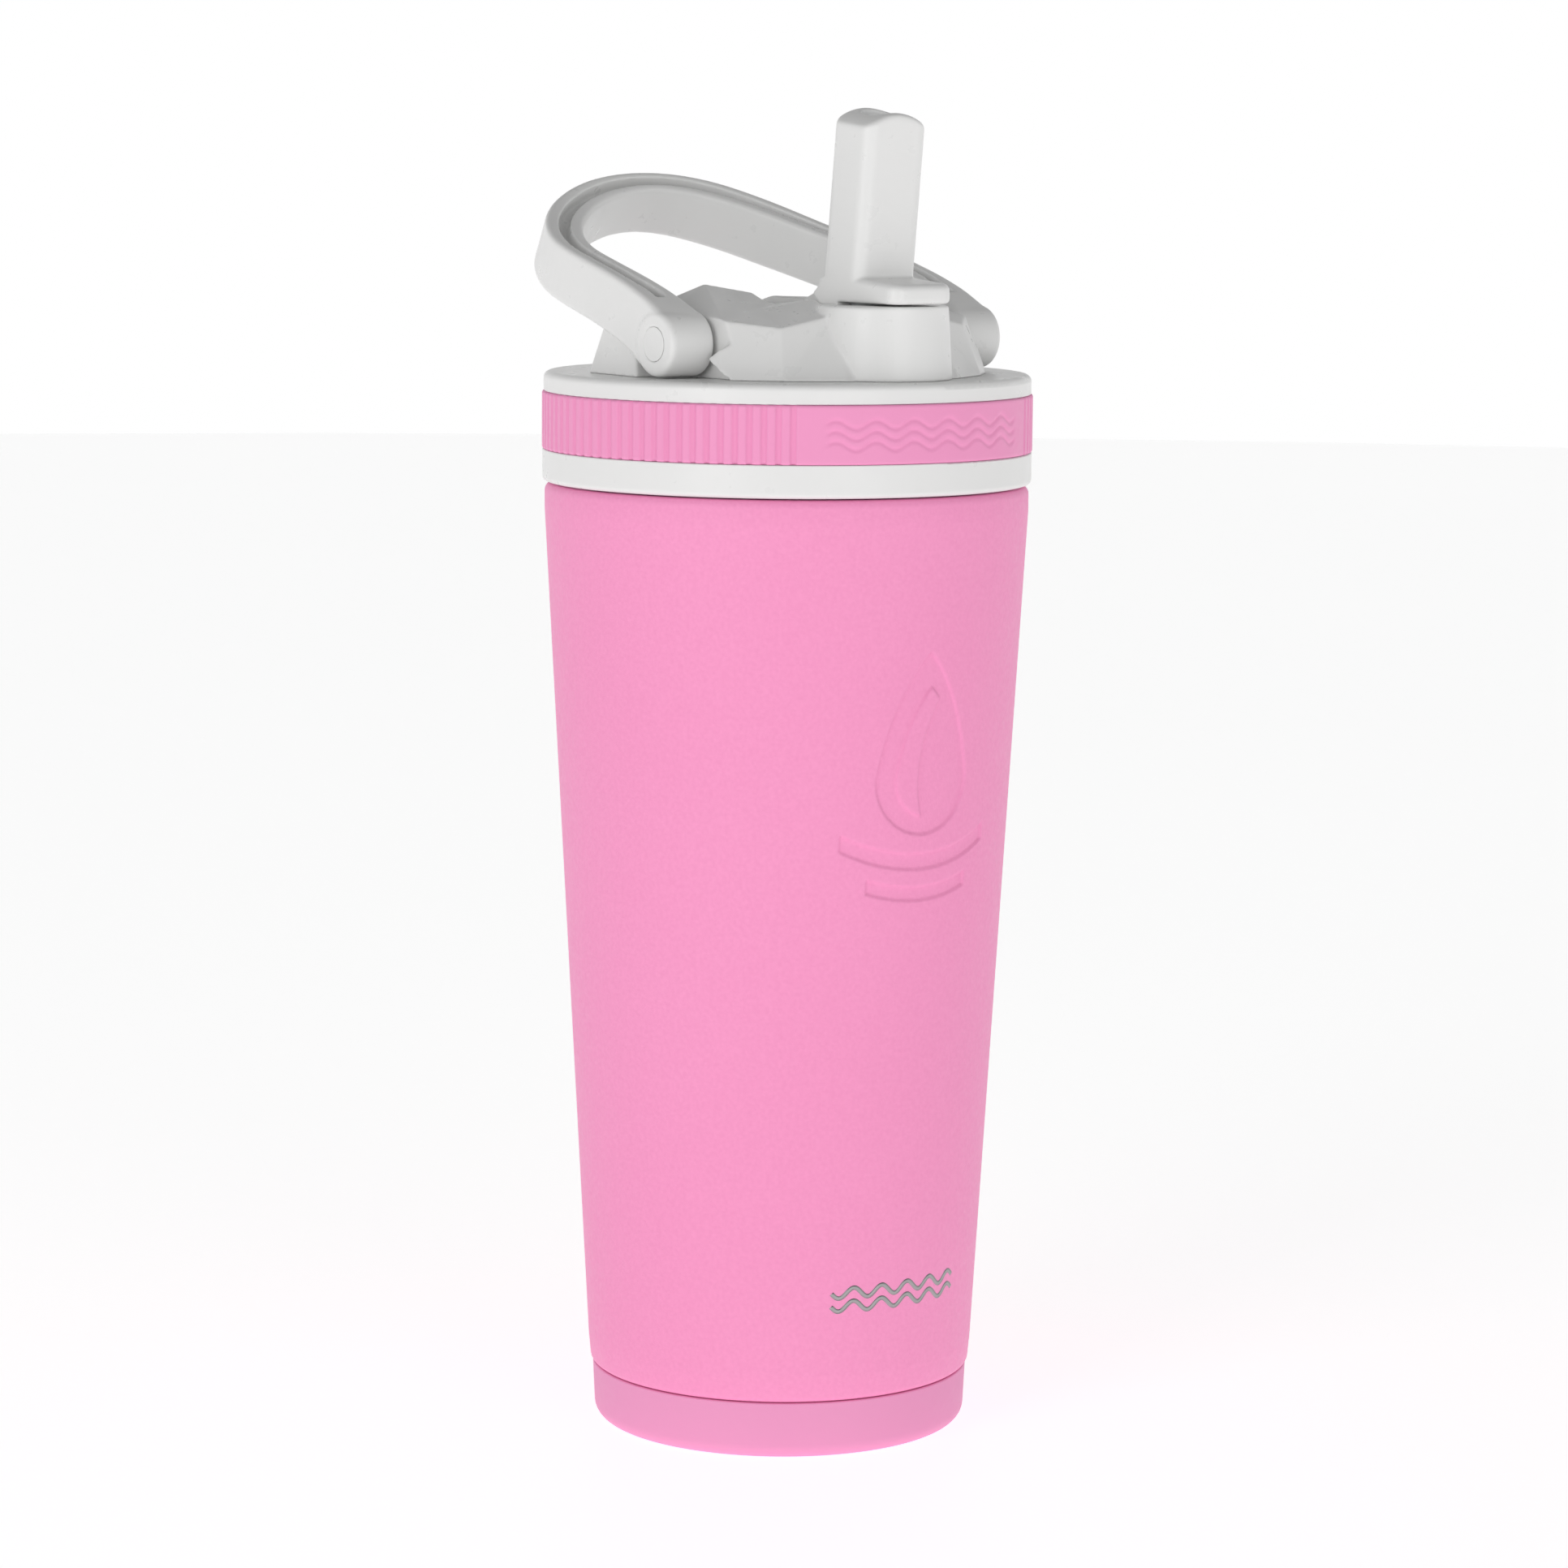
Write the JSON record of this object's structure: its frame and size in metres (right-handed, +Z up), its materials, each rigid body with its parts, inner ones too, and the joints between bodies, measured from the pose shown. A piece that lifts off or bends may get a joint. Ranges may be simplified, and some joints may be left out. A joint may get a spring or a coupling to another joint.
{
  "type": "protein shaker bottle",
  "caption": "Tapered double-wall steel shaker bottle with ribbed screw lid, flip-up straw spout, swinging carry handle, mixing grid and soft base boot.",
  "frame": {"origin": "centre of the flat underside of the base boot, on the bottle's axis", "axes": "+Z up along the bottle's axis; -Y is the front, the side of the spout and thumb tab; +X is parallel to the handle's and spout's pivot pins"},
  "size_m": [0.092, 0.0998, 0.2491],
  "materials": {
    "powder_coat": "fine matte powder coat",
    "bare_steel": "electropolished liner",
    "boot_silicone": "matte silicone",
    "band_silicone": "satin elastomer",
    "white_plastic": "satin gloss moulding",
    "spout_plastic": "satin gloss moulding",
    "seal_silicone": "translucent white silicone",
    "straw_plastic": "clear frosted tube",
    "grid_plastic": "satin moulding",
    "getter_metal": "sintered",
    "solder": "dull bead"
  },
  "bodies": {
    "vessel": {"outer_shell": "powder_coat", "inner_vessel": "bare_steel", "base_plate": "bare_steel", "vacuum_plug": "solder", "getter": "getter_metal", "base_boot": "boot_silicone"},
    "gasket": {"lid_gasket": "seal_silicone"},
    "lid": {"lid_body": "white_plastic", "grip_band": "band_silicone", "straw": "straw_plastic", "straw_grommet": "seal_silicone", "vent_valve": "seal_silicone", "agitator": "grid_plastic", "dome_cover": "white_plastic", "spout_pin": "bare_steel", "spout_seal": "seal_silicone", "handle_pin_left": "white_plastic", "handle_pin_right": "white_plastic"},
    "spout": {"spout": "spout_plastic", "spout_tube": "seal_silicone"},
    "handle": {"handle": "white_plastic"}
  },
  "joints": [
    {"name": "lid_lift", "type": "slide", "parent": "vessel", "child": "gasket", "axis": [0, 0, 1], "range_m": [0, 0.2]},
    {"name": "lid_turn", "type": "hinge", "parent": "gasket", "child": "lid", "pos_m": [0, 0, 0.19], "axis": [0, 0, 1], "range_deg": [0, 540]},
    {"name": "spout_flip", "type": "hinge", "parent": "lid", "child": "spout", "pos_m": [0, -0.021, 0.2095], "axis": [1, 0, 0], "range_deg": [-92, 0]},
    {"name": "handle_swing", "type": "hinge", "parent": "lid", "child": "handle", "pos_m": [0, -0.0105, 0.2063], "axis": [1, 0, 0], "range_deg": [0, 105]}
  ]
}
